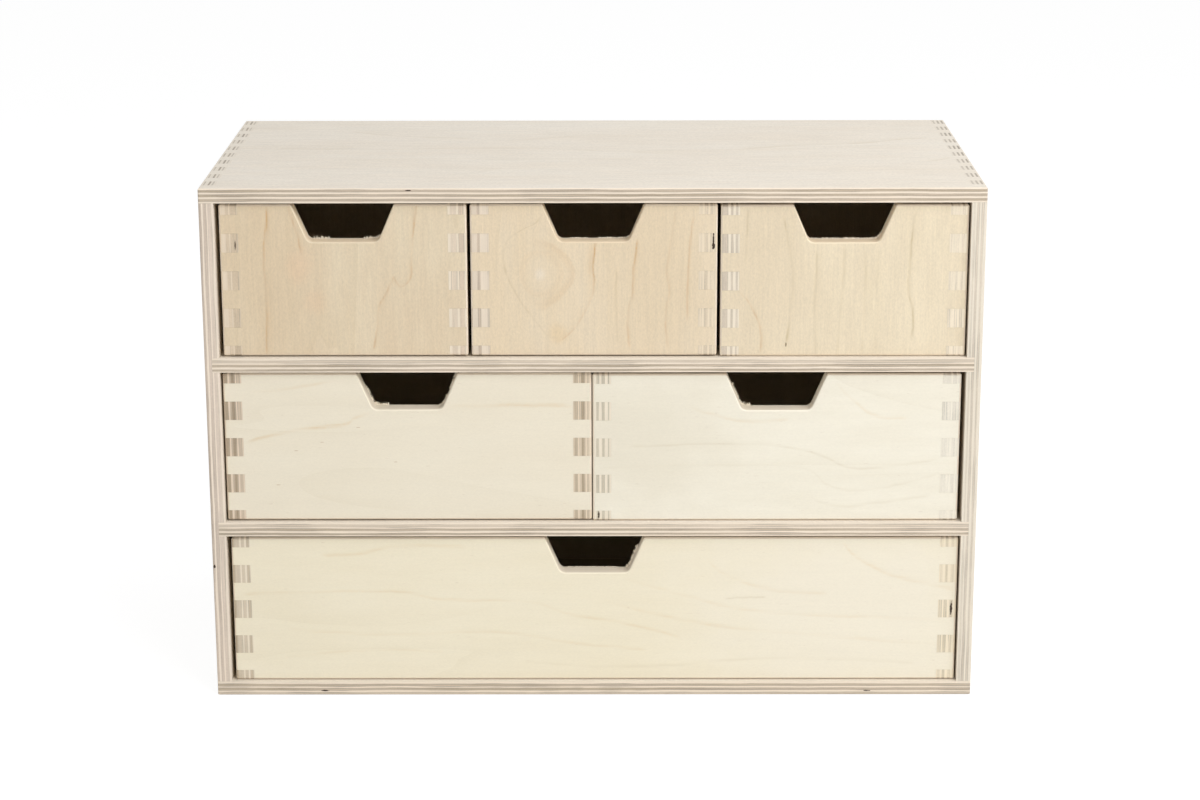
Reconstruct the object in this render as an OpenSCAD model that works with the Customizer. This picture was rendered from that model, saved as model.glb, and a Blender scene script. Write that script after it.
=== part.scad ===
// Mini chest of plywood drawers for a desk. The case is finger-jointed at its four corners, and two
// housed shelves part it into three rows: three small drawers, two medium ones and one wide one.
// Each drawer is a finger-jointed box with a finger notch in its front and a bottom held in grooves.
// Millimetres. The origin lies under the middle of the case, +Z is up and the drawers open along -Y.

/* [Case] */
// Width of the case
case_w = 420; // [340:1:520]
// Depth of the case, front to back
case_d = 200; // [150:1:300]
// Clear height of each row of drawers
row_h = 85.5; // [70:0.5:120]
// Thickness of the case boards and the shelves
panel_t = 8; // [6:0.5:12]
// Thickness of the back panel
back_t = 3; // [2.5:0.5:5]
// Depth of the housing that each shelf end sits in
shelf_housing = 4; // [2:0.5:5]
// Width of the rebate round the back panel, cut into each case board
rebate_w = 4; // [2:0.5:5]

/* [Case corners] */
// Width of one finger where the sides meet the top and the bottom
case_finger = 9.9; // [6:0.1:16]
// Width of the top's and bottom's first finger, at the front
front_finger = 9; // [6:0.1:16]

/* [Drawers] */
// Thickness of the drawer fronts, backs and sides
board_t = 10; // [8:0.5:12]
// Thickness of the drawer bottoms
bottom_t = 3; // [2.5:0.5:5]
// Height of each drawer bottom above the drawer's lower edge
bottom_up = 5; // [3:0.5:10]
// Depth of the grooves that hold each drawer bottom
groove_depth = 4; // [2:0.5:6]
// Width of one finger at the drawer corners
drawer_finger = 10.35; // [7:0.05:16]
// Distance from the case's front edges back to the drawer fronts
recess = 2.5; // [0:0.5:8]
// Free space between the closed drawers and the back panel
rear_space = 6; // [2:0.5:20]

/* [Finger notch] */
// Width of the notch at the drawer's upper edge
notch_top_w = 55; // [44:0.5:70]
// Width of the notch along its foot, before its corners are rounded
notch_foot_w = 37.5; // [24:0.5:42]
// Depth of the notch below the drawer's upper edge
notch_depth = 20.5; // [14:0.5:30]
// Radius of the notch's lower corners
notch_foot_r = 4; // [2:0.5:6]
// Radius where the notch meets the drawer's upper edge
notch_top_r = 1.5; // [0.5:0.5:4]
// Chamfer along the notch's front edge
notch_arris = 0.6; // [0.2:0.1:0.7]

/* [Fit] */
// Clearance in every glued joint, housing and groove
glue_gap = 0.05; // [0.02:0.01:0.2]
// Gap under each drawer
slide_gap = 0.3; // [0.1:0.1:1]
// How much higher than that a drawer marked as raised stands
raised_by = 0.5; // [0:0.1:1]
// Gap above each drawer that isn't raised
head_gap = 1.8; // [0.5:0.1:4]
// Gap at the side that a row of drawers stands closer to
near_gap = 1.1; // [0.2:0.1:2]
// Gap at the other side of that row
far_gap = 2.3; // [0.2:0.1:4]
// Gap between neighbouring small drawers
small_gap = 1.9; // [0.3:0.1:4]
// Gap between the two medium drawers
medium_gap = 0.6; // [0.3:0.1:4]

/* [Edges] */
// Chamfer along the outer edges of the case
case_arris = 0.5; // [0.2:0.1:1.5]
// Chamfer along the outer edges of each drawer
drawer_arris = 0.8; // [0.2:0.1:1.5]

/* [Hidden] */
cut_over = 1;    // how far a cut runs past the face that it opens
arc_steps = 8;   // flats in each rounded corner of a notch

case_veneer = "#e3dacb";
inner_veneer = "#e0d3bd";
tan_veneer = "#dfcdb2";
cream_veneer = "#efe7d3";
bottom_veneer = "#e6dac2";

// Rows from the bottom up. Each has the drawers' name, how many stand side by side, the gap between
// them, whether the row's wider end gap is on its left, the veneer's colour, and which drawers are raised.
ROWS = [
    ["wide_drawer", 1, 0, true, cream_veneer, [false]],
    ["medium_drawer", 2, medium_gap, false, cream_veneer, [true, false]],
    ["small_drawer", 3, small_gap, true, tan_veneer, [true, true, false]],
];
row_pitch = row_h + panel_t;
case_h = len(ROWS) * row_pitch + panel_t;
inner_w = case_w - 2 * panel_t;

drawer_d = case_d - recess - back_t - rear_space;
drawer_h = row_h - slide_gap - head_gap;

function row_name(r) = ROWS[r][0];
function row_count(r) = ROWS[r][1];
function row_gap(r) = ROWS[r][2];
function row_left_gap(r) = ROWS[r][3] ? far_gap : near_gap;
function row_veneer(r) = ROWS[r][4];
function raise(r, c) = ROWS[r][5][c] ? raised_by : 0;
function drawer_name(r, c) = row_count(r) == 1 ? row_name(r) : str(row_name(r), "_", c + 1);
function drawer_w(r) = (inner_w - near_gap - far_gap - (row_count(r) - 1) * row_gap(r)) / row_count(r);
function drawer_x(r, c) = row_left_gap(r) - inner_w / 2 + c * (drawer_w(r) + row_gap(r));
function drawer_z(r, c) = panel_t + r * row_pitch + slide_gap + raise(r, c);

// Every drawer, and where its entries are in the list
DRAWERS = [
    for (r = [0:len(ROWS) - 1])
        for (c = [0:row_count(r) - 1])
            [drawer_name(r, c), drawer_w(r), drawer_x(r, c), drawer_z(r, c), row_veneer(r)]
];
NAME = 0;
WIDTH = 1;
LEFT = 2;
FOOT = 3;
VENEER = 4;

// Where the case sides' fingers start, counted from the front
case_finger_starts = [for (y = front_finger; y < case_d; y = y + 2 * case_finger) y];

// Where the drawer sides' fingers start, in a pattern centred on the drawer's height
pairs_each_way = ceil((drawer_h - drawer_finger) / (4 * drawer_finger));
drawer_finger_starts = [
    for (i = [-pairs_each_way:pairs_each_way]) (drawer_h - drawer_finger) / 2 + 2 * i * drawer_finger
];

module chamfered_rectangle(w, h, c) {
    polygon([[c, 0], [w - c, 0], [w, c], [w, h - c], [w - c, h], [c, h], [0, h - c], [0, c]]);
}

// A block whose twelve edges are chamfered by c
module edged_block(size, c) {
    intersection() {
        linear_extrude(size.z) chamfered_rectangle(size.x, size.y, c);
        rotate([90, 0, 90]) linear_extrude(size.x) chamfered_rectangle(size.y, size.z, c);
        translate([0, size.y, 0])
            rotate([90, 0, 0]) linear_extrude(size.y) chamfered_rectangle(size.x, size.z, c);
    }
}

// ---- Case. Its boards are drawn from the lower left front corner and then set round the origin.

module place_case() {
    translate([-case_w / 2, -case_d / 2, 0]) children();
}

// The block that the children's boards are trimmed to, with its outer edges eased
module case_outline() {
    intersection() {
        edged_block([case_w, case_d, case_h], case_arris);
        union() children();
    }
}

// The space that the back panel lies in
module back_rebate() {
    wall = panel_t - rebate_w;
    translate([wall, case_d - back_t, wall])
        cube([case_w - 2 * wall, back_t + cut_over, case_h - 2 * wall]);
}

// Sockets in the top or bottom board for one side's fingers
module side_finger_sockets() {
    for (y = case_finger_starts)
        translate([-cut_over, y - glue_gap, -cut_over])
            cube([cut_over + panel_t + glue_gap, case_finger + 2 * glue_gap, panel_t + 2 * cut_over]);
}

// A full-width board lying at z = 0, with sockets for both sides' fingers
module jointed_board() {
    difference() {
        cube([case_w, case_d, panel_t]);
        side_finger_sockets();
        translate([case_w, 0, 0]) mirror([1, 0, 0]) side_finger_sockets();
    }
}

module case_top() {
    color(case_veneer) place_case() difference() {
        case_outline() translate([0, 0, case_h - panel_t]) jointed_board();
        back_rebate();
    }
}

module case_bottom() {
    color(case_veneer) place_case() difference() {
        case_outline() jointed_board();
        back_rebate();
    }
}

// Sockets in one end of a side board for the fingers of the top or bottom board
module end_finger_sockets() {
    across = panel_t + 2 * cut_over;
    height = cut_over + panel_t + glue_gap;
    translate([-cut_over, -cut_over, -cut_over]) cube([across, cut_over + front_finger, height]);
    for (y = case_finger_starts)
        translate([-cut_over, y + case_finger, -cut_over]) cube([across, case_finger, height]);
}

// The left side board. The right one is its mirror image.
module side_board() {
    difference() {
        case_outline() cube([panel_t, case_d, case_h]);
        end_finger_sockets();
        translate([0, 0, case_h]) mirror([0, 0, 1]) end_finger_sockets();
        for (r = [1:len(ROWS) - 1])
            translate([panel_t - shelf_housing, -cut_over, r * row_pitch - glue_gap])
                cube([shelf_housing + cut_over, cut_over + case_d - back_t, panel_t + 2 * glue_gap]);
        back_rebate();
    }
}

module case_left_side() {
    color(case_veneer) place_case() side_board();
}

module case_right_side() {
    color(case_veneer) mirror([1, 0, 0]) place_case() side_board();
}

// A shelf with its underside at height z
module shelf(z) {
    end = panel_t - shelf_housing + glue_gap;
    place_case() translate([end, 0, z]) cube([case_w - 2 * end, case_d - back_t, panel_t]);
}

module upper_shelf() {
    color(case_veneer) shelf(2 * row_pitch);
}

module lower_shelf() {
    color(case_veneer) shelf(row_pitch);
}

module back_panel() {
    edge = panel_t - rebate_w + glue_gap;
    color(inner_veneer) place_case() translate([edge, case_d - back_t + glue_gap, edge])
        cube([case_w - 2 * edge, back_t - glue_gap, case_h - 2 * edge]);
}

// ---- Drawers. Each is drawn from its own lower left front corner.

module place_drawer(d) {
    translate([d[LEFT], recess - case_d / 2, d[FOOT]]) children();
}

module drawer_outline(w) {
    intersection() {
        edged_block([w, drawer_d, drawer_h], drawer_arris);
        union() children();
    }
}

// The space that the bottom lies in, which also cuts its grooves
module bottom_space(w, gap) {
    edge = board_t - groove_depth + gap;
    translate([edge, edge, bottom_up + gap])
        cube([w - 2 * edge, drawer_d - 2 * edge, bottom_t - 2 * gap]);
}

// Sockets for one side's fingers in a front or back board that starts at y = 0
module drawer_side_sockets() {
    for (z = drawer_finger_starts)
        translate([-cut_over, -cut_over, z - glue_gap])
            cube([cut_over + board_t + glue_gap, board_t + 2 * cut_over, drawer_finger + 2 * glue_gap]);
}

// A front or back board at y = 0, with sockets for both sides' fingers
module cross_board(w) {
    difference() {
        cube([w, board_t, drawer_h]);
        drawer_side_sockets();
        translate([w, 0, 0]) mirror([1, 0, 0]) drawer_side_sockets();
    }
}

// Sockets for the fingers of a front board in a side board
module drawer_front_sockets() {
    for (i = [-1:len(drawer_finger_starts) - 1])
        translate([-cut_over, -cut_over, drawer_finger_starts[0] + (2 * i + 1) * drawer_finger])
            cube([board_t + 2 * cut_over, cut_over + board_t + glue_gap, drawer_finger]);
}

function arc_points(centre, r, from, to) = [
    for (i = [0:arc_steps])
        let (a = from + (to - from) * i / arc_steps)
            centre + r * [cos(a), sin(a)]
];

// Right half of the notch's outline, from its foot at y = 0 up past the board's upper edge. A rounded
// corner's centre lies notch_tangent radii along the edge from the corner.
notch_lean = atan((notch_top_w - notch_foot_w) / 2 / notch_depth);
notch_tangent = 1 / tan((90 + notch_lean) / 2);
foot_centre = [notch_foot_w / 2 - notch_foot_r * notch_tangent, notch_foot_r];
top_centre = [notch_top_w / 2 + notch_top_r * notch_tangent, notch_depth - notch_top_r];
half_notch = concat(
    arc_points(foot_centre, notch_foot_r, -90, -notch_lean),
    arc_points(top_centre, notch_top_r, 180 - notch_lean, 90),
    [[top_centre.x, notch_depth + cut_over]]
);

module notch_outline() {
    polygon([
        for (p = half_notch) p,
        for (i = [len(half_notch) - 1:-1:0]) [-half_notch[i].x, half_notch[i].y]
    ]);
}

// The cut that chamfers the notch's front edge at 45 degrees, with the board's face at y = 0: what lies
// above the slanted planes of all the notch's flats, which end where its upper corners begin
module notch_chamfer() {
    foot_corner = arc_points(foot_centre, notch_foot_r, -90, -notch_lean);
    upper_corner = arc_points(top_centre, notch_top_r, 180 - notch_lean, 90);
    edge = concat([[0, 0]], foot_corner, [upper_corner[0]]);
    intersection_for (side = [0, 1])
        mirror([side, 0, 0])
            intersection_for (i = [0:len(edge) - 2])
                above_flat(edge[i], edge[i + 1]);
}

// What lies above the plane through the flat from one point of the notch to the next, rising at 45 degrees
// from the board's face to notch_arris behind it
module above_flat(from, to) {
    run = to - from;
    far = 2 * notch_top_w;
    translate([from.x, notch_arris, from.y])
        rotate([45, -atan2(run.y, run.x), 0])
            translate([-far, -far, 0]) cube(2 * far);
}

module drawer_front(d) {
    w = d[WIDTH];
    color(d[VENEER]) place_drawer(d) difference() {
        drawer_outline(w) cross_board(w);
        bottom_space(w, 0);
        translate([w / 2, board_t + cut_over, drawer_h - notch_depth])
            rotate([90, 0, 0]) linear_extrude(board_t + 2 * cut_over) notch_outline();
        translate([w / 2, 0, drawer_h - notch_depth]) notch_chamfer();
    }
}

module drawer_back(d) {
    w = d[WIDTH];
    color(inner_veneer) place_drawer(d) difference() {
        drawer_outline(w) translate([0, drawer_d - board_t, 0]) cross_board(w);
        bottom_space(w, 0);
    }
}

// The left side of a drawer of width w
module drawer_side(w) {
    difference() {
        drawer_outline(w) cube([board_t, drawer_d, drawer_h]);
        drawer_front_sockets();
        translate([0, drawer_d, 0]) mirror([0, 1, 0]) drawer_front_sockets();
        bottom_space(w, 0);
    }
}

module drawer_left_side(d) {
    color(d[VENEER]) place_drawer(d) drawer_side(d[WIDTH]);
}

module drawer_right_side(d) {
    color(d[VENEER]) place_drawer(d) translate([d[WIDTH], 0, 0]) mirror([1, 0, 0]) drawer_side(d[WIDTH]);
}

module drawer_bottom(d) {
    color(bottom_veneer) place_drawer(d) bottom_space(d[WIDTH], glue_gap);
}

case_top();
case_bottom();
case_left_side();
case_right_side();
upper_shelf();
lower_shelf();
back_panel();
for (d = DRAWERS) {
    drawer_front(d);
    drawer_back(d);
    drawer_left_side(d);
    drawer_right_side(d);
    drawer_bottom(d);
}
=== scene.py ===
"""Looks for a desk chest of birch plywood drawers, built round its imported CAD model.

Every board keeps its CAD mesh. Its material is a solid plywood: veneer on the broad faces and plies on every
cut edge, so finger joints, housings and notches show the plies that run through them. The only added pieces
are the small splinters that a cutter leaves along the inner edge of each finger notch.
"""

import math
import random
from collections import namedtuple

import bpy
from mathutils import Matrix, Vector


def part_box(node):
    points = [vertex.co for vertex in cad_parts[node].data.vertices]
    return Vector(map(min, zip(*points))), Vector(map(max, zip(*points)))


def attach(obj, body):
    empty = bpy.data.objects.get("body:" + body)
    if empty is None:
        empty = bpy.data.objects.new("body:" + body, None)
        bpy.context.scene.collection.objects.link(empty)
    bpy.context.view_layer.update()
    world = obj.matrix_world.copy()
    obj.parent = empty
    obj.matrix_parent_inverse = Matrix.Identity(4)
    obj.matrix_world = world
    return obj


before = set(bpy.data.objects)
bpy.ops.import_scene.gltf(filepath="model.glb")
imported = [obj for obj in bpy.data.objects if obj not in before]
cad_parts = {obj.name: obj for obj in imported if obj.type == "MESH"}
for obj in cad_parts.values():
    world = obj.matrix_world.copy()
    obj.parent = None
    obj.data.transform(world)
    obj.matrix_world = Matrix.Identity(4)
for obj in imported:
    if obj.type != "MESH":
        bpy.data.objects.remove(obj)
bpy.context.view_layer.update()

MM = 0.001
X, Y, Z = 0, 1, 2

# ---- Colours, as they look in plain light (sRGB, 0 to 255)

EDGE_LIGHT = (242, 228, 209)
EDGE_DARK = (189, 173, 152)
ORANGE_LINE = (196, 148, 82)
GOLD_LINE = (212, 176, 108)
OLIVE_LINE = (180, 158, 108)
YELLOW_PATCH = (222, 190, 138)
PALE_HEART = (240, 228, 210)
FLECK = (160, 124, 88)
# Painted shade: the dark inside a gap in the plies.
VOID_SHADE = (58, 42, 28)
# Painted shade: the darker, warmer tone of the faces inside the case and the drawers.
INSIDE_SHADE = (233, 217, 191)
TORN_EDGE = (243, 234, 217)
SPLINTER = (241, 231, 213)


def linear(colour):
    """A 0 to 255 sRGB colour as the linear RGBA that shader sockets take."""
    def channel(v):
        v = v / 255
        return v / 12.92 if v <= 0.04045 else ((v + 0.055) / 1.055) ** 2.4
    return tuple(channel(v) for v in colour) + (1.0,)


# ---- Node trees


class Graph:
    """Short calls for the nodes that the materials use. A value is a number, a tuple or a socket."""

    def __init__(self, owner):
        owner.use_nodes = True
        self.tree = owner.node_tree
        self.tree.nodes.clear()

    def node(self, kind, **settings):
        made = self.tree.nodes.new(kind)
        for key, value in settings.items():
            setattr(made, key, value)
        return made

    def feed(self, socket, value):
        if isinstance(value, bpy.types.NodeSocket):
            self.tree.links.new(value, socket)
        else:
            socket.default_value = value

    def math(self, operation, a, b=0.0):
        made = self.node("ShaderNodeMath", operation=operation)
        self.feed(made.inputs[0], a)
        self.feed(made.inputs[1], b)
        return made.outputs[0]

    def add(self, *values):
        total = values[0]
        for value in values[1:]:
            total = self.math("ADD", total, value)
        return total

    def times(self, *values):
        product = values[0]
        for value in values[1:]:
            product = self.math("MULTIPLY", product, value)
        return product

    def minus(self, a, b):
        return self.math("SUBTRACT", a, b)

    def vector(self, x, y, z):
        made = self.node("ShaderNodeCombineXYZ")
        for socket, value in zip(made.inputs, (x, y, z)):
            self.feed(socket, value)
        return made.outputs[0]

    def split(self, vector):
        made = self.node("ShaderNodeSeparateXYZ")
        self.feed(made.inputs[0], vector)
        return made.outputs

    def noise(self, vector, detail=2.0, roughness=0.5, distortion=0.0):
        made = self.node("ShaderNodeTexNoise", noise_dimensions="3D")
        self.feed(made.inputs["Vector"], vector)
        made.inputs["Scale"].default_value = 1.0
        made.inputs["Detail"].default_value = detail
        made.inputs["Roughness"].default_value = roughness
        made.inputs["Distortion"].default_value = distortion
        return made.outputs["Fac"]

    def remap(self, value, low, high, to_low=0.0, to_high=1.0, smooth=True):
        made = self.node("ShaderNodeMapRange", clamp=True)
        made.interpolation_type = "SMOOTHSTEP" if smooth else "LINEAR"
        self.feed(made.inputs["Value"], value)
        for key, number in (("From Min", low), ("From Max", high), ("To Min", to_low), ("To Max", to_high)):
            made.inputs[key].default_value = number
        return made.outputs["Result"]

    def swing(self, noise, amount, low=0.28, high=0.72):
        """Noise as a number between -amount and amount."""
        return self.remap(noise, low, high, -amount, amount, smooth=False)

    def blend(self, factor, a, b):
        made = self.node("ShaderNodeMix", data_type="RGBA")
        self.feed(made.inputs[0], factor)
        self.feed(made.inputs[6], a)
        self.feed(made.inputs[7], b)
        return made.outputs[2]

    def lerp(self, factor, a, b):
        made = self.node("ShaderNodeMix", data_type="FLOAT")
        self.feed(made.inputs[0], factor)
        self.feed(made.inputs[2], a)
        self.feed(made.inputs[3], b)
        return made.outputs[0]

    def brighten(self, colour, amount):
        """colour times amount, a factor near 1."""
        made = self.node("ShaderNodeVectorMath", operation="SCALE")
        self.feed(made.inputs[0], colour[:3] if isinstance(colour, tuple) else colour)
        self.feed(made.inputs["Scale"], amount)
        return made.outputs[0]

    def curve(self, value, points):
        """A smooth curve through points, whose places and values both run from 0 to 1."""
        made = self.node("ShaderNodeFloatCurve")
        made.mapping.extend = "HORIZONTAL"
        knots = made.mapping.curves[0].points
        while len(knots) < len(points):
            knots.new(0.5, 0.5)
        for knot, point in zip(knots, sorted(points)):
            knot.location = point
        made.mapping.update()
        self.feed(made.inputs["Value"], value)
        return made.outputs["Value"]

    def ramp(self, value, stops):
        """Straight changes of grey between stops, each a place and a shade."""
        made = self.node("ShaderNodeValToRGB")
        elements = made.color_ramp.elements
        while len(elements) < len(stops):
            elements.new(0.5)
        for element, (position, shade) in zip(elements, stops):
            element.position = position
            element.color = (shade, shade, shade, 1.0)
        self.feed(made.inputs[0], value)
        return self.split(made.outputs[0])[0]

    def finish(self, colour, roughness, height, bump, relief):
        """The shader. height is a relief of that depth, and bump is how strongly it shows."""
        relief_node = self.node("ShaderNodeBump")
        relief_node.inputs["Strength"].default_value = bump
        relief_node.inputs["Distance"].default_value = relief
        self.feed(relief_node.inputs["Height"], height)
        shader = self.node("ShaderNodeBsdfPrincipled")
        self.feed(shader.inputs["Base Color"], colour)
        self.feed(shader.inputs["Roughness"], roughness)
        self.feed(shader.inputs["Normal"], relief_node.outputs[0])
        self.feed(self.node("ShaderNodeOutputMaterial").inputs["Surface"], shader.outputs[0])


# ---- Plywood

# A growth line on a face. Its points are (along the grain, across it) in mm from the board's low corner, and
# it fades out over `fade` mm at both ends. One side is crisp, the other melts away over `soft` mm; a negative
# `soft` melts towards the low side.
Line = namedtuple("Line", "points soft strength tint fade", defaults=(ORANGE_LINE, 5.0))
# An oval ring round a knot, in mm. `low_side` is how much of its strength it has on the low side across.
Ring = namedtuple("Ring", "along across half_length half_width strength tint low_side")
# A soft oval patch of another colour, in mm.
Patch = namedtuple("Patch", "along across half_length half_width strength tint")
# A gap, drawn as painted shade, or a dark fleck in the wood, in mm: its centre along, across and through, its
# half sizes and its tint.
Pit = namedtuple("Pit", "along across through half_sizes tint", defaults=(VOID_SHADE,))
# Noise in the wood: its waves per metre along, across and through the board, and a shift in waves that keeps
# one kind apart from the others.
Figure = namedtuple(
    "Figure", "along across through shift detail roughness distortion", defaults=(2.0, 0.5, 0.0))

# Figure of the broad faces
CLOUD = Figure(5, 13, 5, 5.9)
MOTTLE = Figure(12, 60, 5, 1.7, 4.0, 0.62)
STREAK = Figure(34, 750, 5, 4.2, 3.0, 0.6)
FIBRE = Figure(650, 1100, 5, 9.4, 2.0, 0.6)
FLECKS = Figure(230, 1300, 5, 2.9, 1.0)
RINGS = Figure(2.6, 17.0, 1, 3.6, 2.0, 0.45, 0.3)
RING_PRESENCE = Figure(8, 24, 1, 6.6)
LINE_JITTER = Figure(75, 4, 1, 8.8, 4.0, 0.6)
LINE_PRESENCE = Figure(30, 60, 1, 5.2)
LINE_STRANDS = Figure(30, 900, 1, 7.4)
OVAL_SWAY = Figure(45, 45, 1, 2.2, 3.0)
# Figure of the cut edges
PLY_WAVER = Figure(24, 24, 60, 3.3, 3.0, 0.6)
PLY_SLOW = Figure(9, 9, 150, 2.6, 1.0)
PLY_DRIFT = Figure(30, 30, 420, 8.1, 3.0, 0.65)
PLY_HUE = Figure(12, 12, 500, 1.3, 1.0)
END_PATCHES = Figure(50, 50, 60, 4.9, 1.0)
PORES = Figure(1100, 1100, 1700, 5.5, 2.0, 0.6)
STRANDS = Figure(42, 42, 1900, 7.7, 3.0, 0.6)
GLUE_STREAKS = Figure(28, 28, 90, 9.9, 3.0)
TORN_RAGGED = Figure(350, 350, 100, 6.2)
PIT_RAGGED = Figure(900, 900, 900, 1.1, 1.0)

# Dark plies as (start, end, darkness), in shares of the thickness from the low side of the board.
TOP_PLIES = ((0.12, 0.3, 1.0), (0.43, 0.61, 1.0), (0.74, 0.91, 1.0))
SHELF_PLIES = ((0.09, 0.23, 1.0), (0.38, 0.55, 1.0), (0.65, 0.85, 0.55))
BOTTOM_PLIES = ((0.02, 0.2, 0.7), (0.33, 0.52, 1.0), (0.63, 0.82, 0.9))
LEFT_SIDE_PLIES = ((0.02, 0.16, 1.0), (0.3, 0.52, 0.9), (0.6, 0.86, 0.65))
RIGHT_SIDE_PLIES = ((0.12, 0.23, 0.55), (0.33, 0.5, 0.9), (0.66, 0.8, 0.8))
LEFT_END_PLIES = ((0.17, 0.28, 0.6), (0.5, 0.63, 1.0), (0.76, 0.86, 0.6))
RIGHT_END_PLIES = ((0.1, 0.24, 0.6), (0.41, 0.55, 0.9), (0.71, 0.85, 1.0))
BOARD_PLIES = ((0.16, 0.34, 0.8), (0.42, 0.62, 1.0), (0.7, 0.88, 0.9))
THIN_PLIES = ((0.33, 0.67, 1.0),)

BOTH = 2                            # both broad faces of a board look into the case
SEED_APART = (7.3, 3.1)             # waves across and through from one board's noise to the next one's
LINE_REACH = 1.7                    # how far a line's soft side really reaches, as a multiple of `soft`
PLY_BLUR = 0.014                    # half the width of the change between plies, a share of the thickness
GLUE_REACH = 0.035                  # half the width of a glue line, a share of the thickness
FLECK_STRENGTH = 0.12
CUT_STRENGTH = 0.92

# Ranges over which one look turns into another. The first two are shares of how squarely a surface looks
# through the board or along its grain, and CUT_FACING is how far it looks up.
CHAMFER_FACING = (0.75, 0.92)             # from cut edge to broad face
END_FACING = (0.3, 0.9)                   # from long edge to the board's end
CUT_FACING = (0.15, 0.3)                  # from plies to the notch's cut wood
CUT_BELOW = (1.0 * MM, 1.6 * MM)          # the same, by the distance below the board's upper edge
TORN_BAND = (1.0 * MM, 1.8 * MM)          # from torn fibres to cut wood, by the distance from the back
NOTCH_CHAMFER = (0.55 * MM, 0.75 * MM)    # from the notch's chamfer, a painted highlight, to cut wood, by that from the front
INSIDE_SHADE_FROM = (2 * MM, 12 * MM)           # from plain to painted shade on inner faces, by that from the front


class Board:
    """A board's coordinates, from its low corner: along and across its grain and through its thickness."""

    def __init__(self, node, through, along, seed):
        low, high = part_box(node)
        self.low = low
        self.through, self.along = through, along
        self.across = 3 - through - along
        self.size = high - low
        self.length, self.width = self.size[along], self.size[self.across]
        self.thickness = self.size[through]
        self.seed = seed


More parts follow.
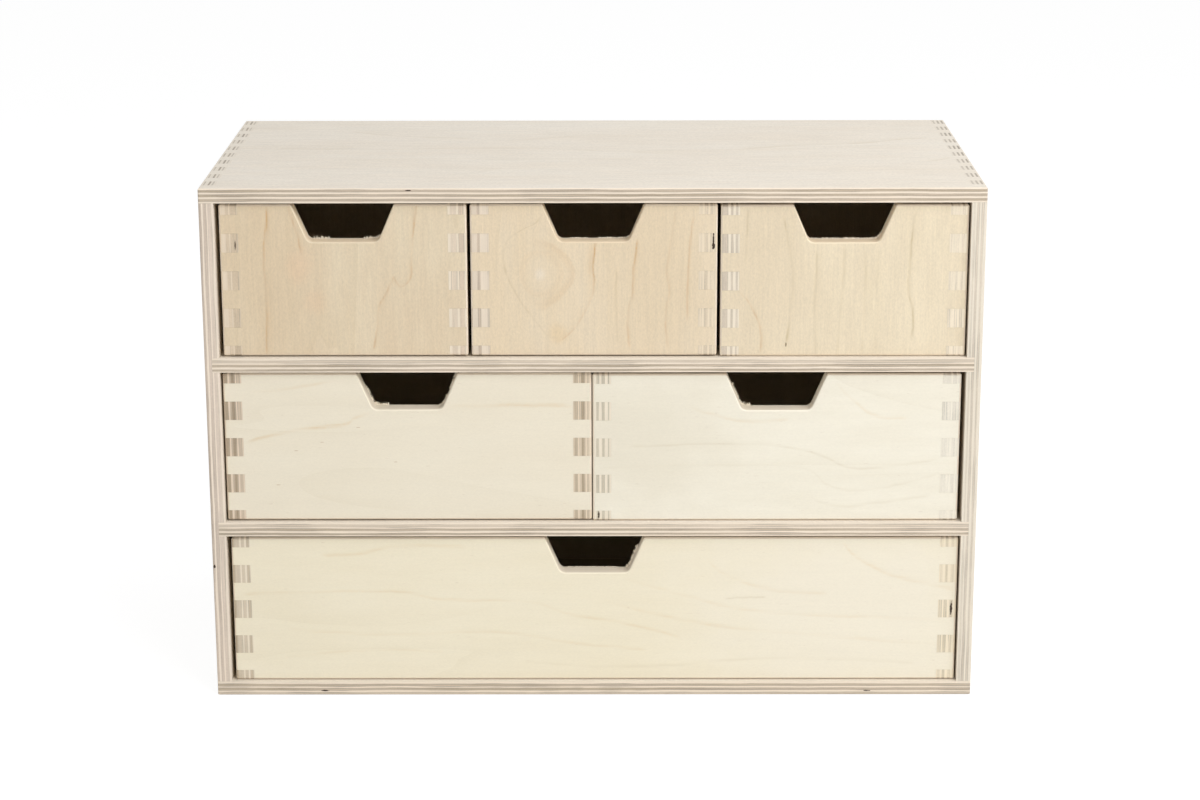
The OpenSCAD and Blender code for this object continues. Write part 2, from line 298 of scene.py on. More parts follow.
class Wood:
    """The node tree of one board's plywood."""

    def __init__(self, material, board, look):
        self.g = Graph(material)
        self.board, self.look = board, look
        g = self.g
        moved = g.node("ShaderNodeVectorMath", operation="SUBTRACT")
        g.feed(moved.inputs[0], g.node("ShaderNodeTexCoord").outputs["Object"])
        moved.inputs[1].default_value = board.low
        self.place = g.split(moved.outputs[0])
        self.along, self.across = self.place[board.along], self.place[board.across]
        self.depth = self.place[board.through]
        self.normal = g.split(g.node("ShaderNodeNewGeometry").outputs["True Normal"])
        self.squareness = g.math("ABSOLUTE", self.normal[board.through])
        self.end = g.remap(g.math("ABSOLUTE", self.normal[board.along]), *END_FACING)

    def grain(self, figure):
        """Noise of that figure, a different stretch of it on every board."""
        g, seed = self.g, self.board.seed
        vector = g.vector(
            g.times(self.along, figure.along),
            g.add(g.times(self.across, figure.across), seed * SEED_APART[0] + figure.shift),
            g.add(g.times(self.depth, figure.through), seed * SEED_APART[1] - figure.shift),
        )
        return g.noise(vector, figure.detail, figure.roughness, figure.distortion)

    # Broad faces

    def veneer(self):
        """Colour and height of a broad face."""
        g, look = self.g, self.look
        mottle, streak, fibre = self.grain(MOTTLE), self.grain(STREAK), self.grain(FIBRE)
        tone = g.add(g.swing(mottle, 0.5, 0.3, 0.7), g.swing(self.grain(CLOUD), 0.35, 0.3, 0.7), 0.5)
        colour = g.blend(g.remap(tone, 0.0, 1.0, smooth=False), linear(look["face"]), linear(look["face_2"]))
        if look["inward"]:
            colour = self.paint_inside_shade(colour)
        colour = self.rings(colour, streak)
        for patch in look["patches"]:
            colour = self.patch(colour, patch)
        for ring in look["knot"]:
            colour = self.ring(colour, ring)
        for line in look["lines"]:
            colour = self.line(colour, line, fibre)
        shade = g.add(
            g.swing(mottle, look["mottle"]), g.swing(streak, look["streak"]),
            g.swing(fibre, look["fibre"]), 1.0)
        colour = g.brighten(colour, shade)
        fleck = g.remap(self.grain(FLECKS), 0.735, 0.80)
        colour = g.blend(g.times(fleck, FLECK_STRENGTH), colour, linear(FLECK))
        return colour, g.add(g.times(fibre, 0.6), g.times(streak, 0.4))

    def paint_inside_shade(self, colour):
        """Paints shade on the faces that look into the case: a darker, warmer tone from a little behind its
        front edges.
        """
        g, inward = self.g, self.look["inward"]
        facing = self.squareness if inward == BOTH else g.times(self.normal[self.board.through], inward)
        inside = g.times(g.remap(facing, 0.5, 0.9), g.remap(self.place[Y], *INSIDE_SHADE_FROM))
        return g.blend(inside, colour, linear(INSIDE_SHADE))

    def rings(self, colour, streak):
        """Faint growth lines, as the contour lines of slow noise."""
        g, look = self.g, self.look
        field = self.grain(look["ring_figure"])
        ring = g.math("POWER", g.math("FRACT", g.times(field, look["rings"])), 6.0)
        presence = g.remap(self.grain(RING_PRESENCE), 0.36, 0.62)
        ring = g.times(ring, presence, g.remap(streak, 0.3, 0.7, 0.4, 1.0), look["ring_strength"])
        return g.blend(ring, colour, linear(OLIVE_LINE))

    def line(self, colour, line, fibre):
        """A growth line, patchy along its run and broken up by the wood's fibres."""
        g = self.g
        blur = min(self.look["line_blur"], abs(line.soft))
        strands = LINE_STRANDS._replace(across=LINE_STRANDS.across / blur)
        strength = g.times(
            self.line_profile(line, blur * MM),
            self.line_ends(line),
            g.remap(self.grain(LINE_PRESENCE), 0.34, 0.62, 0.35, 1.3),
            g.remap(self.grain(strands), 0.34, 0.66, 0.5, 1.4),
            g.remap(fibre, 0.3, 0.7, 0.7, 1.2),
            line.strength,
        )
        return g.blend(strength, colour, linear(line.tint))

    def line_profile(self, line, blur):
        """A growth line's strength across itself: a quick rise on its crisp side, then a slow melt."""
        g, offset = self.g, self.line_offset(line)
        rise = g.remap(offset, -0.7 * blur, 0.45 * blur)
        melt = g.remap(offset, 0.0, abs(line.soft) * LINE_REACH * MM, 1.0, 0.0, smooth=False)
        core = g.remap(offset, 0.2 * blur, 1.5 * blur, 1.0, 0.0)
        return g.times(rise, g.add(g.times(melt, melt, 0.55), g.times(core, 0.6)))

    def line_offset(self, line):
        """Distance across the grain from a growth line, positive on its soft side."""
        g, board = self.g, self.board
        points = [(a * MM / board.length, c * MM / board.width) for a, c in line.points]
        middle = g.times(g.curve(g.math("DIVIDE", self.along, board.length), points), board.width)
        jitter = g.swing(self.grain(LINE_JITTER), 0.5 * MM)
        offset = g.minus(g.minus(self.across, middle), jitter)
        return g.times(offset, -1.0) if line.soft < 0 else offset

    def line_ends(self, line):
        """1 along a growth line, fading to 0 at both of its ends."""
        g, fade = self.g, line.fade * MM
        start = min(a for a, _ in line.points) * MM
        end = max(a for a, _ in line.points) * MM
        begun = g.remap(self.along, start - fade / 4, start + fade)
        return g.times(begun, g.remap(self.along, end - fade, end, 1.0, 0.0))

    def oval(self, shape):
        """Distance from an oval's middle as a share of its half sizes, with a slightly unsteady edge."""
        g = self.g
        along = g.math("DIVIDE", g.minus(self.along, shape.along * MM), shape.half_length * MM)
        across = g.math("DIVIDE", g.minus(self.across, shape.across * MM), shape.half_width * MM)
        sway = g.swing(self.grain(OVAL_SWAY), 0.16)
        radius = g.math("SQRT", g.add(g.times(along, along), g.times(across, across)))
        return g.add(radius, sway), across

    def ring(self, colour, ring):
        """One of the rings round a knot."""
        g = self.g
        radius, across = self.oval(ring)
        side = g.remap(across, -0.4, 0.4, ring.low_side, 1.0)
        inside = g.remap(radius, 0.6, 0.98)
        outside = g.remap(radius, 0.98, 1.1, 1.0, 0.0)
        return g.blend(g.times(inside, outside, side, ring.strength), colour, linear(ring.tint))

    def patch(self, colour, patch):
        """A soft patch of another colour."""
        g = self.g
        radius, _ = self.oval(patch)
        strength = g.times(g.remap(radius, 0.2, 1.15, 1.0, 0.0), patch.strength)
        return g.blend(strength, colour, linear(patch.tint))

    # Cut edges

    def plies(self):
        """Colour and height of a cut edge: plies that waver and change shade along the board."""
        g, look = self.g, self.look
        waver = g.swing(self.grain(PLY_WAVER), look["waver"])
        depth = g.add(g.math("DIVIDE", self.depth, self.board.thickness), waver)
        dark = g.ramp(depth, ply_stops(look["plies"]))
        if look["end_plies"]:
            dark = g.lerp(self.end, dark, g.ramp(depth, ply_stops(look["end_plies"])))
        figures = self.grain(PLY_DRIFT), self.grain(PORES), self.grain(STRANDS)
        colour = g.blend(dark, self.light_ply(*figures), self.dark_ply(*figures))
        _, pores, strands = figures
        height = g.add(g.times(pores, 0.4), g.times(strands, 0.3), g.times(dark, -0.3))
        return g.brighten(colour, self.glue_shade(depth)), height

    def light_ply(self, drift, pores, strands):
        """Colour of a light ply, which is nearly even."""
        g, look = self.g, self.look
        colour = g.blend(self.end, linear(look["edge_light"]), linear(look["end_light"]))
        return g.brighten(
            colour, g.add(g.swing(strands, 0.04), g.swing(drift, 0.03), g.swing(pores, 0.02), 1.0))

    def dark_ply(self, drift, pores, strands):
        """Colour of a dark ply, which changes from place to place."""
        g, look = self.g, self.look
        hue = g.remap(self.grain(PLY_HUE), 0.35, 0.65)
        colour = g.blend(hue, linear(look["edge_dark"]), linear(look["edge_dark_2"]))
        colour = g.blend(self.end, colour, linear(look["end_dark"]))
        shade = g.add(
            g.swing(self.grain(PLY_SLOW), 0.07), g.swing(drift, 0.10), g.swing(pores, 0.06),
            g.swing(strands, look["strands"]), g.times(self.end, g.swing(self.grain(END_PATCHES), 0.12)), 1.0)
        return g.brighten(colour, shade)

    def glue_shade(self, depth):
        """Darker, streaky glue lines between the plies, on the edges that run along the grain."""
        g, look = self.g, self.look
        streaks = g.remap(self.grain(GLUE_STREAKS), 0.46, 0.64)
        glue = g.times(g.ramp(depth, glue_stops(look["plies"])), streaks)
        return g.add(g.times(glue, g.minus(1.0, self.end), -look["glue"]), 1.0)

    def pale_cut_with_painted_light(self, colour):
        """Pales the notch's sides and foot, most of all along the torn edge at the back. The pale cut colour
        is partly fresh-cut wood's own and partly painted light that lifts the shade under the board above.
        """
        g, board, look = self.g, self.board, self.look
        below = g.minus(board.size.z, self.place[Z])
        cut = g.times(g.remap(self.normal[Z], *CUT_FACING), g.remap(below, *CUT_BELOW))
        ragged = g.swing(self.grain(TORN_RAGGED), 0.7 * MM)
        in_front = g.add(g.minus(board.thickness, self.depth), ragged)
        fresh = g.blend(g.remap(in_front, *TORN_BAND), linear(TORN_EDGE), linear(look["cut"]))
        chamfer = g.remap(self.depth, *NOTCH_CHAMFER, 1.0, 0.0)
        # The notch's front chamfer: the face colour brightened by 9 %, a painted highlight.
        fresh = g.blend(chamfer, fresh, g.brighten(linear(look["face_2"]), 1.09))
        return g.blend(g.times(cut, CUT_STRENGTH), colour, fresh)

    # Gaps and flecks

    def gap_shade_and_fleck(self, colour, gap_shade_and_fleck):
        """Darkens a small ragged ovoid in the board: painted shade in a gap, or a fleck's own colour."""
        g = self.g
        total = g.swing(self.grain(PIT_RAGGED), 0.5)
        for place, middle, half in zip((self.along, self.across, self.depth), gap_shade_and_fleck[:3], gap_shade_and_fleck.half_sizes):
            share = g.math("DIVIDE", g.minus(place, middle * MM), half * MM)
            total = g.add(total, g.times(share, share))
        return g.blend(g.remap(total, 0.6, 1.4, 1.0, 0.0), colour, linear(gap_shade_and_fleck.tint))


def ply_changes(dark_plies):
    """Where a stack of plies changes shade, as (place, darkness before, darkness after)."""
    changes = []
    for start, end, darkness in dark_plies:
        before = 0.0
        if changes and start - changes[-1][0] < 2 * PLY_BLUR:
            before = changes.pop()[1]
        changes += [(start, before, darkness), (end, darkness, 0.0)]
    return changes


def ply_stops(dark_plies):
    """Ramp stops for a stack of plies, with a narrow change between neighbours."""
    stops = []
    for place, before, after in ply_changes(dark_plies):
        stops += [(place - PLY_BLUR, before), (place + PLY_BLUR, after)]
    return stops


def glue_stops(dark_plies):
    """Ramp stops that peak at every glue line between two plies."""
    stops = []
    for place, _, _ in ply_changes(dark_plies):
        stops += [(place - GLUE_REACH, 0.0), (place, 1.0), (place + GLUE_REACH, 0.0)]
    return sorted(stops)


def plywood(node, board, look):
    """A board's material: veneer on its broad faces, plies on its edges, and its gaps and flecks."""
    material = bpy.data.materials.new(f"plywood_{node}")
    wood = Wood(material, board, look)
    g = wood.g
    face_colour, face_height = wood.veneer()
    edge_colour, edge_height = wood.plies()
    if look["cut"]:
        edge_colour = wood.pale_cut_with_painted_light(edge_colour)
    face = g.remap(wood.squareness, *CHAMFER_FACING)
    colour = g.blend(face, edge_colour, face_colour)
    for gap_shade_and_fleck in look["pits"]:
        colour = wood.gap_shade_and_fleck(colour, gap_shade_and_fleck)
    roughness = g.lerp(face, 0.78, g.remap(face_height, 0.3, 0.7, 0.54, 0.66))
    height = g.lerp(face, edge_height, face_height)
    g.finish(colour, roughness, height, bump=0.6, relief=0.05 * MM)
    return material


def make_look(**changes):
    """The case's look, with some entries changed.

    `face` to `fibre` are the veneer's two tones and how far its brightness swings, `rings` to `knot` its
    growth lines and patches, `plies` to `end_dark` the cut edges, `cut` the notch's wood, pale partly as
    fresh cut and partly as painted light, and `pits` the gaps, drawn as painted shade, and flecks.
    `inward` is the broad face that looks into the case and takes its painted shade: 1 the high one, -1 the
    low one, BOTH or 0 for none.
    """
    look = dict(
        face=(235, 227, 214), face_2=(230, 220, 205), mottle=0.015, streak=0.06, fibre=0.076,
        rings=5.0, ring_figure=RINGS, ring_strength=0.1, lines=(), line_blur=1.0, patches=(), knot=(),
        plies=TOP_PLIES, end_plies=(), waver=0.028, strands=0.13, glue=0.3,
        edge_light=EDGE_LIGHT, edge_dark=EDGE_DARK, edge_dark_2=(198, 182, 163),
        end_light=EDGE_LIGHT, end_dark=(191, 176, 157), cut=None, pits=(), inward=0,
    )
    look.update(changes)
    return look


def dress(node, through, along, seed, look):
    """Gives a CAD board its plywood. through and along are the axes of its thickness and of its grain."""
    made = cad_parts[node]
    made.data.materials.clear()
    made.data.materials.append(plywood(node, Board(node, through, along, seed), look))


# ---- The case

TOP_LINES = (
    Line(((292, 107), (330, 119), (366, 126), (391, 138), (406, 142)), 6.0, 0.26, OLIVE_LINE),
    Line(((380, 64), (395, 70), (412, 84)), 5.0, 0.2, OLIVE_LINE),
    Line(((66, 164), (102, 147), (140, 141)), 5.0, 0.16, OLIVE_LINE),
    Line(((160, 132), (188, 146), (220, 155)), -5.0, 0.16, OLIVE_LINE),
    Line(((30, 112), (90, 108), (150, 112), (215, 104)), 4.0, 0.12, OLIVE_LINE),
)
# Gaps in the case's plies, drawn in painted shade.
TOP_GAP = Pit(112, 0.6, 6.9, (1.8, 1.5, 0.35))
LEFT_GAP = Pit(76, 0.6, 1.0, (1.4, 1.5, 0.6))
FOOT_GAPS = (Pit(60, 0.6, 2.6, (2.4, 1.5, 0.45)), Pit(362, 0.6, 2.4, (2, 1.5, 0.35)))
SIDE_END_LIGHT = (229, 220, 206)


def dress_case():
    dress("case_top", Z, X, 1.0, make_look(lines=TOP_LINES, pits=(TOP_GAP,), inward=-1))
    dress("case_bottom", Z, X, 2.0, make_look(
        pits=FOOT_GAPS, plies=BOTTOM_PLIES, edge_dark=(188, 172, 150), glue=0.55, inward=1))
    dress("case_left_side", X, Z, 3.0, make_look(
        plies=LEFT_SIDE_PLIES, edge_light=(245, 230, 212), edge_dark=(205, 189, 173),
        edge_dark_2=(208, 192, 177), end_plies=LEFT_END_PLIES, end_light=SIDE_END_LIGHT,
        end_dark=(176, 165, 150), pits=(LEFT_GAP,), inward=1))
    dress("case_right_side", X, Z, 4.0, make_look(
        plies=RIGHT_SIDE_PLIES, edge_light=(236, 226, 209), edge_dark=(212, 199, 181),
        edge_dark_2=(216, 203, 186), end_plies=RIGHT_END_PLIES, end_light=SIDE_END_LIGHT,
        end_dark=(180, 170, 156), inward=-1))
    shelf = make_look(plies=SHELF_PLIES, glue=0.45, inward=BOTH)
    dress("upper_shelf", Z, X, 5.0, shelf)
    dress("lower_shelf", Z, X, 6.0, shelf)
    dress("back_panel", Y, X, 7.0, make_look(
        face=(233, 217, 190), face_2=(229, 211, 182), plies=THIN_PLIES))


# ---- The drawers

# `cut` is the notch's pale wood: partly fresh-cut colour, partly painted light that lifts its shade.
TAN = dict(
    plies=BOARD_PLIES, mottle=0.018, streak=0.039, fibre=0.055, cut=(251, 232, 203),
    rings=4.0, ring_figure=RINGS._replace(along=3.0, across=26.0), ring_strength=0.14,
)
CREAM = dict(
    plies=BOARD_PLIES, mottle=0.007, streak=0.009, fibre=0.02, cut=(250, 239, 220),
    ring_strength=0.08, line_blur=1.7,
)
# The fronts' face colours lighten from left to right: partly each board's own tone, partly painted light
# standing in for the key light from the right.
SMALL_1 = make_look(
    **TAN, face=(225, 205, 175), face_2=(228, 212, 184),
    patches=(
        Patch(45, 22, 60, 34, 0.5, (221, 200, 168)),
        Patch(50, 42, 13, 9, 0.3, (233, 196, 162)),
        Patch(30, 50, 9, 7, 0.22, (233, 196, 162)),
    ),
    lines=(
        Line(((83, 25.6), (67, 24), (50, 23), (33, 23.8), (19, 23.3), (0, 23)), 3.0, 0.26),
        Line(((84, 25.2), (75, 25), (66, 24)), 3.5, 0.38),
        Line(((84, 36.7), (78, 37.8), (72, 39.7), (66, 41.6), (56, 43.2)), 2.5, 0.34),
        Line(((84, 106.1), (63, 103.7), (51, 103.1), (45, 102.6), (41, 101), (37.8, 96.7)),
             -2.5, 0.27, fade=1.0),
        Line(((44.6, 92.9), (41, 94.5), (37.8, 96.7)), -2.5, 0.24, fade=1.0),
        Line(((44.6, 92.9), (35, 88.3), (27, 84.2), (15, 82.9), (3, 80.5)), 2.5, 0.24, fade=2.0),
    ),
)
SMALL_2 = make_look(
    **TAN, face=(234, 217, 190), face_2=(231, 212, 182),
    lines=(
        Line(((78, 38.2), (73, 34.7), (70, 28), (64, 19.9), (54, 17.6), (45, 18.8)),
             1.2, 0.24, OLIVE_LINE, 3.0),
        Line(((52, 17.8), (45, 18.8), (32, 25.3), (19, 34.4), (10, 42), (7, 46.5)), 1.2, 0.14, OLIVE_LINE),
        Line(((7, 46.5), (14, 54.9), (24, 61.3), (32, 65.1), (40, 66.4), (48, 65.9), (66, 68.5)),
             -4.0, 0.38, fade=2.0),
        Line(((66, 89.7), (48, 87.1), (32, 86), (25, 84.1), (3, 85)), 2.0, 0.29),
        Line(((81, 109.4), (59, 106.6), (46, 104.8), (36, 106.2), (24, 104.4), (3, 105.7)), 2.0, 0.36),
        Line(((78, 119), (58, 117.2), (38, 116.2), (19, 115.8)), 1.5, 0.29),
        Line(((50, 78), (30, 77.5), (6, 78.5)), 1.5, 0.16, OLIVE_LINE),
    ),
    knot=(
        Ring(45.0, 37.3, 17.5, 16.5, 0.14, ORANGE_LINE, 0.1),
        Ring(45.0, 37.3, 12.5, 11.0, 0.07, ORANGE_LINE, 1.0),
    ),
    patches=(
        Patch(45, 100, 70, 34, 0.75, (226, 207, 177)),
        Patch(45, 37.3, 4.2, 3.6, 0.55, PALE_HEART),
        Patch(12, 46.5, 7, 6, 0.28, YELLOW_PATCH),
    ),
)
SMALL_3 = make_look(
    **TAN, face=(232, 216, 188), face_2=(238, 223, 195),
    lines=(
        Line(((83, 13.8), (64, 13.2), (50, 12.6)), 1.5, 0.34, OLIVE_LINE),
        Line(((79, 32.3), (60, 36.1), (45, 38.1), (29, 37.7), (6, 35.2)), 2.0, 0.29, OLIVE_LINE),
        Line(((63, 65.6), (35, 64.7), (0, 62.7)), 2.0, 0.25, OLIVE_LINE),
        Line(((82, 103.5), (56, 101), (36, 100.6), (24.5, 103), (9, 103)), 2.0, 0.29, OLIVE_LINE),
        Line(((37, 8), (32, 13.4), (25, 17.5), (14, 21.5), (2, 21.5)), 2.0, 0.32),
        Line(((60, 50.9), (30, 50.3), (0, 51)), 3.0, 0.16, OLIVE_LINE),
        Line(((60, 76.4), (30, 77), (0, 76)), 2.0, 0.13, OLIVE_LINE),
        Line(((62, 84), (30, 83), (0, 83.7)), 1.5, 0.15, OLIVE_LINE),
    ),
    patches=(Patch(45, 20, 70, 34, 0.8, (228, 211, 183)),),
    pits=(Pit(6.5, 35.6, 0, (1.3, 0.3, 0.6), (120, 98, 66)),),
)
MEDIUM_1 = make_look(
    **CREAM, face=(240, 230, 209), face_2=(241, 232, 212),
    lines=(
        Line(((11, 44.5), (33, 51), (58, 54.3), (67, 55.7), (71, 58.9), (82, 62)), -1.6, 0.23, GOLD_LINE),
        Line(((120, 64.7), (136, 64.4), (163, 65), (192, 64.4)), 2.0, 0.18, GOLD_LINE, 10),
        Line(((16, 72.7), (39, 75.1), (66, 80.6)), 1.5, 0.15, GOLD_LINE, 10),
    ),
    pits=tuple(
        Pit(a, c, 0, (1.2, 0.17, 0.5), (210, 190, 162))
        for a, c in ((72.8, 52.9), (52.8, 44.5), (38.6, 39.7), (92.8, 33.2), (28.4, 20.1))
    ),
)
MEDIUM_2 = make_look(
    **CREAM, face=(243, 236, 218), face_2=(248, 242, 226),
    lines=(
        Line(((20, 42), (70, 43.5), (99, 42.7), (121, 38.2), (143, 29.5), (157, 29.9), (190, 35.2)),
             1.2, 0.1, OLIVE_LINE),
        Line(((6, 29.9), (70, 31.4), (108, 30.7), (121, 27), (128, 20.2), (143, 16.7), (157, 17.9),
              (190, 26.9)), 1.2, 0.07, OLIVE_LINE),
        Line(((53, 64.5), (65, 60), (85, 56.3), (108, 57.8)), 1.5, 0.09, GOLD_LINE),
        Line(((132, 78), (143, 66.8), (154, 59.3), (172, 57.8)), 2.0, 0.11, GOLD_LINE),
        Line(((118, 14), (133, 8), (157, 9.6), (186, 14)), 1.5, 0.08, OLIVE_LINE),
    ),
    # A darker patch over the left part: partly the board's own tone, partly painted shade of the light
    # falling off to the left.
    patches=(Patch(20, 45, 75, 60, 0.8, (236, 228, 209)),),
)
WIDE = make_look(
    **CREAM, face=(243, 233, 208), face_2=(245, 236, 213),
    lines=(
        Line(((5, 50.3), (50, 51.4), (96, 51), (116, 46.9), (160, 46), (189, 37.4), (205, 35), (250, 24)),
             1.5, 0.12, GOLD_LINE),
        Line(((29, 29.5), (87, 26.1), (145, 27.7), (189, 20.9), (230, 17)), 1.5, 0.10, GOLD_LINE),
        Line(((26, 12.6), (87, 17.1), (118, 15.6)), 1.2, 0.08, GOLD_LINE),
        Line(((49, 72.8), (70, 73.6), (87, 77.4), (131, 77.4)), 2.0, 0.11, GOLD_LINE),
        Line(((337, 80.3), (343, 72.8), (352, 66.8), (369, 59.3), (401, 52.5)), 3.5, 0.15, GOLD_LINE),
        Line(((262, 75), (266, 66), (280, 58), (300, 52), (330, 50)), 3.0, 0.11, GOLD_LINE),
        Line(((272, 47.6), (284, 48.2), (296, 48)), 0.8, 0.34, OLIVE_LINE, 3.0),
        Line(((205, 46), (235, 38), (270, 31), (320, 26), (395, 20)), 2.0, 0.10, GOLD_LINE),
        Line(((215, 60), (240, 52), (290, 40), (340, 37), (398, 34)), 2.0, 0.10, GOLD_LINE),
        Line(((160, 10), (220, 7), (300, 12), (380, 9)), 1.5, 0.08, OLIVE_LINE),
    ),
    # A lighter patch over the right part: partly the board's own tone, partly painted light from the key on
    # the right.
    patches=(Patch(340, 40, 110, 80, 0.8, (246, 238, 220)),),
)
DRAWER_LOOKS = {
    "small_drawer_1": (Z, SMALL_1),
    "small_drawer_2": (Z, SMALL_2),
    "small_drawer_3": (Z, SMALL_3),
    "medium_drawer_1": (X, MEDIUM_1),
    "medium_drawer_2": (X, MEDIUM_2),
    "wide_drawer": (X, WIDE),
}
# Each side board of each drawer, as its fingers show in the front: dark plies, light colour, dark colour and
# gaps between the plies, drawn as painted shade.
Side = namedtuple("Side", "plies light dark gaps", defaults=((),))
DRAWER_SIDES = {
    "small_drawer_1": (
        Side(((0.35, 0.54, 0.75), (0.6, 0.96, 0.95)), (232, 215, 192), (214, 195, 169),
             (Pit(61.5, 0, 8.3, (2.6, 2, 0.35)),)),
        Side(((0.15, 0.46, 0.58), (0.58, 0.86, 1.0)), (239, 225, 204), (216, 198, 177)),
    ),
    "small_drawer_2": (
        Side(((0.03, 0.36, 0.27), (0.38, 0.52, 1.0), (0.9, 0.97, 0.3)), (235, 220, 200), (209, 191, 171)),
        Side(((0.03, 0.19, 0.4), (0.31, 0.5, 1.0), (0.61, 0.76, 1.0), (0.8, 0.89, 0.6)), (238, 222, 197),
             (221, 205, 181), (Pit(64.5, 0, 7.9, (4.3, 2, 0.42)), Pit(60.6, 0, 7.9, (1.8, 2, 0.75)))),
    ),
    "small_drawer_3": (
        Side(((0.09, 0.38, 1.0), (0.54, 0.66, 0.95), (0.8, 0.92, 0.8)), (241, 229, 209), (215, 201, 182)),
        Side(((0.03, 0.1, 0.8), (0.12, 0.38, 0.3), (0.39, 0.5, 0.7), (0.65, 0.77, 1.0)), (244, 231, 208),
             (235, 221, 199)),
    ),
    "medium_drawer_1": (
        Side(((0.02, 0.09, 0.3), (0.09, 0.25, 0.95), (0.37, 0.47, 0.65), (0.47, 0.57, 1.0),
              (0.57, 0.65, 0.75), (0.75, 0.92, 0.42)), (230, 212, 190), (174, 156, 133)),
        Side(((0.05, 0.1, 0.4), (0.1, 0.25, 0.7), (0.35, 0.46, 0.4), (0.46, 0.57, 1.0), (0.57, 0.66, 0.7),
              (0.76, 0.85, 0.45)), (232, 215, 191), (181, 164, 140)),
    ),
    "medium_drawer_2": (
        Side(((0.21, 0.34, 1.0), (0.5, 0.65, 0.95), (0.83, 0.9, 1.0)), (240, 229, 209), (206, 196, 176),
             (Pit(3.2, 0, 3.2, (1.9, 2, 0.5)),)),
        Side(((0.03, 0.12, 0.8), (0.12, 0.24, 0.5), (0.24, 0.45, 0.85), (0.57, 0.75, 1.0), (0.84, 0.9, 0.3)),
             (244, 237, 221), (230, 223, 208)),
    ),
    "wide_drawer": (
        Side(((0.02, 0.15, 1.0), (0.15, 0.43, 0.62), (0.52, 0.7, 0.64), (0.81, 0.97, 0.82)), (238, 226, 206),
             (197, 181, 157)),
        Side(((0.05, 0.19, 0.6), (0.32, 0.46, 1.0), (0.63, 0.78, 0.75)), (245, 232, 207), (222, 209, 184),
             (Pit(41.6, 0, 7.2, (4.6, 2, 0.6)),)),
    ),
}
# The drawers' inner boards take the inside's painted shade as their face colour.
INNER = dict(face=INSIDE_SHADE, face_2=(229, 212, 185), lines=(), patches=(), knot=(), pits=(), cut=None)


def dress_drawer(drawer, grain, front_look, seed):
    """Dresses a drawer's five boards. The four behind its front are plain, in the painted shade colour of the
    inside.
    """
    inner = dict(front_look, **INNER)
    dress(f"{drawer}_front", Y, grain, seed, front_look)
    dress(f"{drawer}_back", Y, grain, seed + 1, inner)
    for i, (name, side) in enumerate(zip(("left_side", "right_side"), DRAWER_SIDES[drawer])):
        side_look = dict(
            inner, plies=side.plies, edge_light=side.light, edge_dark=side.dark, edge_dark_2=side.dark,
            strands=0.08, waver=0.018, pits=side.gaps)
        dress(f"{drawer}_{name}", X, Z, seed + 2 + i, side_look)
    dress(f"{drawer}_bottom", Z, X, seed + 4, dict(inner, plies=THIN_PLIES))


# ---- Splinters at the finger notches

NOTCH_TOP_W = 55 * MM
NOTCH_FOOT_W = 37.5 * MM
NOTCH_DEPTH = 20.5 * MM
NOTCH_FOOT_R = 4 * MM
PATH_END = (1.5 * MM, 2.5 * MM)      # how far inside and below the notch's upper corners its path ends
SPLINTER_SINK = 0.25 * MM            # how deep a splinter's root sits in the board
SPLINTER_TIP = 0.3                   # how far into its thickness a splinter's tip lies, as a share of it
FIBRES_PER_METRE = 1500

# Where the notch's back edge is torn, as stretches of its path from the upper left: start, end and longest
# splinter, all in mm. The left side ends at about 17, the foot runs from 21 to 54 and the right side from 58
# to 75, with the rounded corners between them.
TEARS = {
    "small_drawer_1": ((21, 30, 1.8), (48, 57, 1.7)),
    "small_drawer_2": ((24, 34, 0.7), (40, 57, 0.9)),
    "small_drawer_3": ((20, 58, 0.9), (52, 59, 1.3)),
    "medium_drawer_1": ((8, 21, 1.5), (19, 27, 2.3), (54, 62, 1.2), (66, 76, 0.8)),
    "medium_drawer_2": ((6, 20, 1.3), (19, 24, 2.4)),
    "wide_drawer": ((22, 50, 0.7), (55, 70, 1.4)),
}


def notch_path(steps=6):
    """The notch's outline from upper left round its foot to upper right, as (x, z) from the foot's middle."""
    lean = math.atan((NOTCH_TOP_W - NOTCH_FOOT_W) / 2 / NOTCH_DEPTH)
    tangent = NOTCH_FOOT_R / math.tan((math.pi / 2 + lean) / 2)
    centre_x = NOTCH_FOOT_W / 2 - tangent
    arc = []
    for i in range(steps + 1):
        angle = -math.pi / 2 + (math.pi / 2 - lean) * i / steps
        arc.append((centre_x + NOTCH_FOOT_R * math.cos(angle), NOTCH_FOOT_R * (1 + math.sin(angle))))
    right = arc + [(NOTCH_TOP_W / 2 - PATH_END[0], NOTCH_DEPTH - PATH_END[1])]
    return [(-x, z) for x, z in reversed(right)] + right


def along_path(path, distance):
    """The point at that distance along a path, and the direction to its left."""
    for (x0, z0), (x1, z1) in zip(path, path[1:]):
        length = math.dist((x0, z0), (x1, z1))
        if distance <= length:
            share = distance / length
            return (x0 + (x1 - x0) * share, z0 + (z1 - z0) * share), ((z0 - z1) / length, (x1 - x0) / length)
        distance -= length
    return path[-1], (0.0, 1.0)


def splinter_material():
    """Pale wood with fine fibres, for all the splinters."""
    material = bpy.data.materials.new("raised_fibres")
    g = Graph(material)
    place = g.node("ShaderNodeTexCoord").outputs["Object"]
    scaled = g.node("ShaderNodeVectorMath", operation="SCALE")
    g.feed(scaled.inputs[0], place)
    scaled.inputs["Scale"].default_value = FIBRES_PER_METRE
    fibres = g.noise(scaled.outputs[0], detail=3.0)
    colour = g.brighten(linear(SPLINTER), g.add(g.swing(fibres, 0.05), 1.0))
    g.finish(colour, g.remap(fibres, 0.3, 0.7, 0.7, 0.9), fibres, bump=0.4, relief=0.03 * MM)
    return material


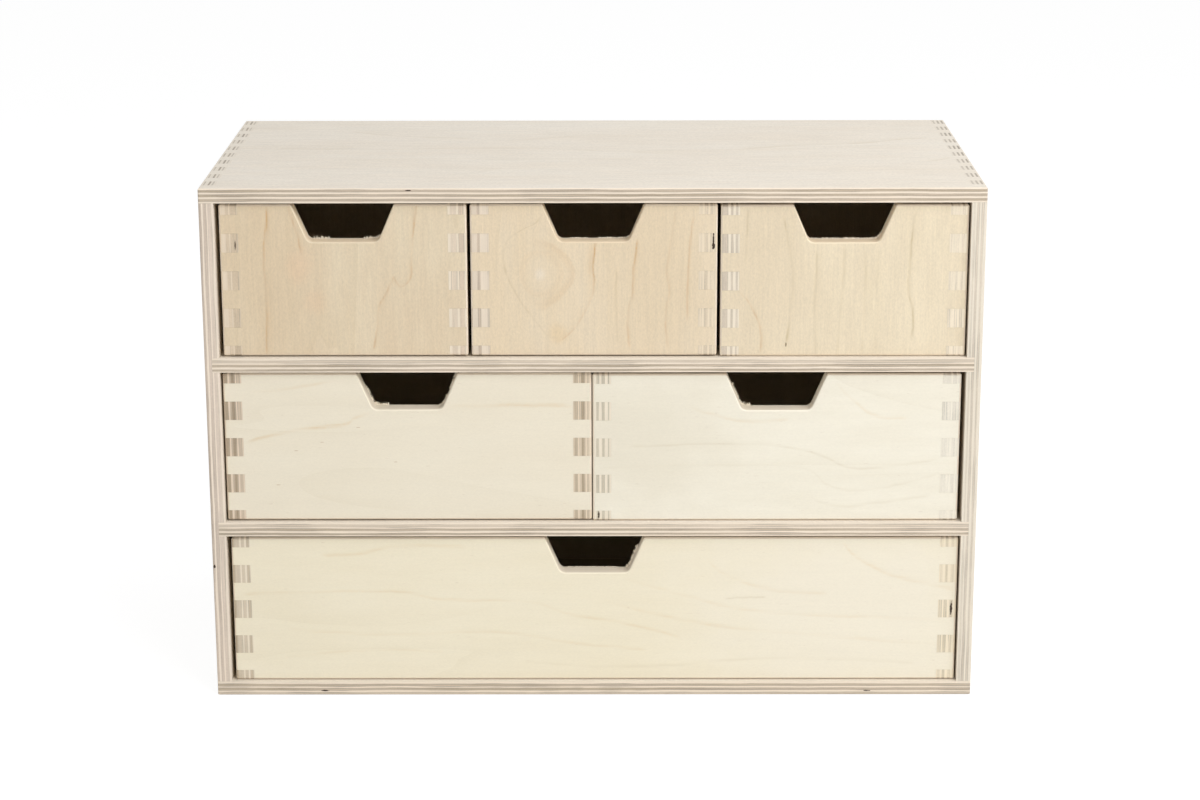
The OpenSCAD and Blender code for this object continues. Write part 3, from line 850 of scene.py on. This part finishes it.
def add_splinter(vertices, faces, root, direction, depth, width, length, thickness, sweep):
    """A thin four-sided spike, rooted just inside the notch's edge and pointing into the opening."""
    (x, z), (nx, nz) = root, direction
    tx, tz = nz, -nx
    base = len(vertices)
    for side, layer in ((-1, 0), (1, 0), (1, 1), (-1, 1)):
        px = x + tx * side * width / 2 - nx * SPLINTER_SINK
        pz = z + tz * side * width / 2 - nz * SPLINTER_SINK
        vertices.append((px, depth - layer * thickness, pz))
    tip_y = depth - thickness * SPLINTER_TIP
    vertices.append((x + nx * length + tx * sweep, tip_y, z + nz * length + tz * sweep))
    faces.append((base + 3, base + 2, base + 1, base))
    for i in range(4):
        faces.append((base + i, base + (i + 1) % 4, base + 4))


def make_splinters(drawer, material, seed):
    """Raised fibres along the notch's torn back edge."""
    dice = random.Random(seed)
    low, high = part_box(f"{drawer}_front")
    middle_x, foot_z = (low.x + high.x) / 2, high.z - NOTCH_DEPTH
    path = notch_path()
    vertices, faces = [], []
    for start, end, longest in TEARS[drawer]:
        distance = start
        while distance < end:
            (x, z), direction = along_path(path, distance * MM)
            add_splinter(
                vertices, faces, (middle_x + x, foot_z + z), direction,
                depth=high.y - dice.uniform(0, 0.5) * MM,
                width=dice.uniform(0.5, 1.6) * MM,
                length=dice.uniform(0.3, 1.0) * longest * MM,
                thickness=dice.uniform(0.15, 0.4) * MM,
                sweep=dice.uniform(-0.7, 0.7) * MM,
            )
            distance += dice.uniform(0.2, 0.7)
    mesh = bpy.data.meshes.new(f"{drawer}_notch_splinters")
    mesh.from_pydata(vertices, [], faces)
    mesh.validate()
    mesh.materials.append(material)
    made = bpy.data.objects.new(f"{drawer}_notch_splinters", mesh)
    bpy.context.scene.collection.objects.link(made)
    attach(made, drawer)


# ---- Floor, light and camera

FLOOR_REACH = 12.0
FLOOR_DROP = 0.2 * MM       # how far below the case the floor lies
FLOOR_GLOW = 0.86           # what the seen floor shows where no light falls
WORLD_STRENGTH = 0.565
LAMP_AIM = (0, 0, 0.14)
CAMERA_PLACE = (9.0 * MM, -1512.9 * MM, 583.1 * MM)
CAMERA_LENS = 81.4
CAMERA_SHIFT = -0.05


def seen_directly(g):
    """1 for the rays that show the studio itself, to the eye or in a mirror or glass."""
    ray = g.node("ShaderNodeLightPath").outputs
    seen = g.math("MAXIMUM", ray["Is Camera Ray"], ray["Is Glossy Ray"])
    return g.math("MAXIMUM", seen, ray["Is Transmission Ray"])


def floor_material():
    """White with a soft shadow where it is seen, and a plain pale floor to the light that it throws back."""
    material = bpy.data.materials.new("studio_floor")
    g = Graph(material)
    matt = g.node("ShaderNodeBsdfDiffuse")
    matt.inputs["Color"].default_value = (0.8, 0.8, 0.79, 1.0)
    shadowed = g.node("ShaderNodeBsdfDiffuse")
    shadowed.inputs["Color"].default_value = (0.26, 0.26, 0.26, 1.0)
    glow = g.node("ShaderNodeEmission")
    glow.inputs["Strength"].default_value = FLOOR_GLOW
    white = g.node("ShaderNodeAddShader")
    g.feed(white.inputs[0], shadowed.outputs[0])
    g.feed(white.inputs[1], glow.outputs[0])
    choice = g.node("ShaderNodeMixShader")
    g.feed(choice.inputs[0], seen_directly(g))
    g.feed(choice.inputs[1], matt.outputs[0])
    g.feed(choice.inputs[2], white.outputs[0])
    g.feed(g.node("ShaderNodeOutputMaterial").inputs["Surface"], choice.outputs[0])
    return material


def make_floor():
    mesh = bpy.data.meshes.new("studio_floor")
    r = FLOOR_REACH
    mesh.from_pydata([(-r, -r, 0), (r, -r, 0), (r, r, 0), (-r, r, 0)], [], [(0, 1, 2, 3)])
    mesh.materials.append(floor_material())
    floor = bpy.data.objects.new("studio_floor", mesh)
    floor.location.z = -FLOOR_DROP
    bpy.context.scene.collection.objects.link(floor)


def make_world():
    """Even white light from all round, and a pure white background."""
    world = bpy.data.worlds.new("studio")
    bpy.context.scene.world = world
    g = Graph(world)
    white = g.node("ShaderNodeBackground")
    g.feed(white.inputs["Strength"], g.lerp(seen_directly(g), WORLD_STRENGTH, 1.0))
    g.feed(g.node("ShaderNodeOutputWorld").inputs["Surface"], white.outputs[0])


def make_lamp(name, place, size, power):
    """A soft box of that size in metres and that power in watts, turned to the middle of the chest."""
    lamp = bpy.data.lights.new(name, "AREA")
    lamp.shape = "RECTANGLE"
    lamp.size, lamp.size_y = size
    lamp.energy = power
    made = bpy.data.objects.new(name, lamp)
    made.location = place
    made.rotation_euler = (Vector(LAMP_AIM) - Vector(place)).to_track_quat("-Z", "Y").to_euler()
    bpy.context.scene.collection.objects.link(made)


def make_camera():
    """A long lens a little above the chest's front, tilted down."""
    camera = bpy.data.cameras.new("camera")
    camera.sensor_width = 36.0
    camera.lens = CAMERA_LENS
    camera.shift_y = CAMERA_SHIFT
    pitch, yaw, roll = math.radians(14.98), math.radians(-0.21), math.radians(0.12)
    turn = (
        Matrix.Rotation(-yaw, 4, "Z")
        @ Matrix.Rotation(math.pi / 2 - pitch, 4, "X")
        @ Matrix.Rotation(-roll, 4, "Z")
    )
    made = bpy.data.objects.new("camera", camera)
    made.matrix_world = Matrix.Translation(CAMERA_PLACE) @ turn
    bpy.context.scene.collection.objects.link(made)
    bpy.context.scene.camera = made


dress_case()
fibres = splinter_material()
for number, (drawer, (grain, front_look)) in enumerate(DRAWER_LOOKS.items()):
    dress_drawer(drawer, grain, front_look, seed=11.0 + 5 * number)
    make_splinters(drawer, fibres, seed=40 + number)

make_floor()
make_world()
make_lamp("key", place=(0.95, -1.1, 1.35), size=(1.2, 1.0), power=19)
make_lamp("fill", place=(-1.3, -1.6, 0.9), size=(1.2, 1.2), power=4)
make_lamp("overhead", place=(0.45, 0.1, 1.5), size=(1.4, 1.0), power=4)
make_camera()
bpy.context.scene.view_settings.view_transform = "Standard"
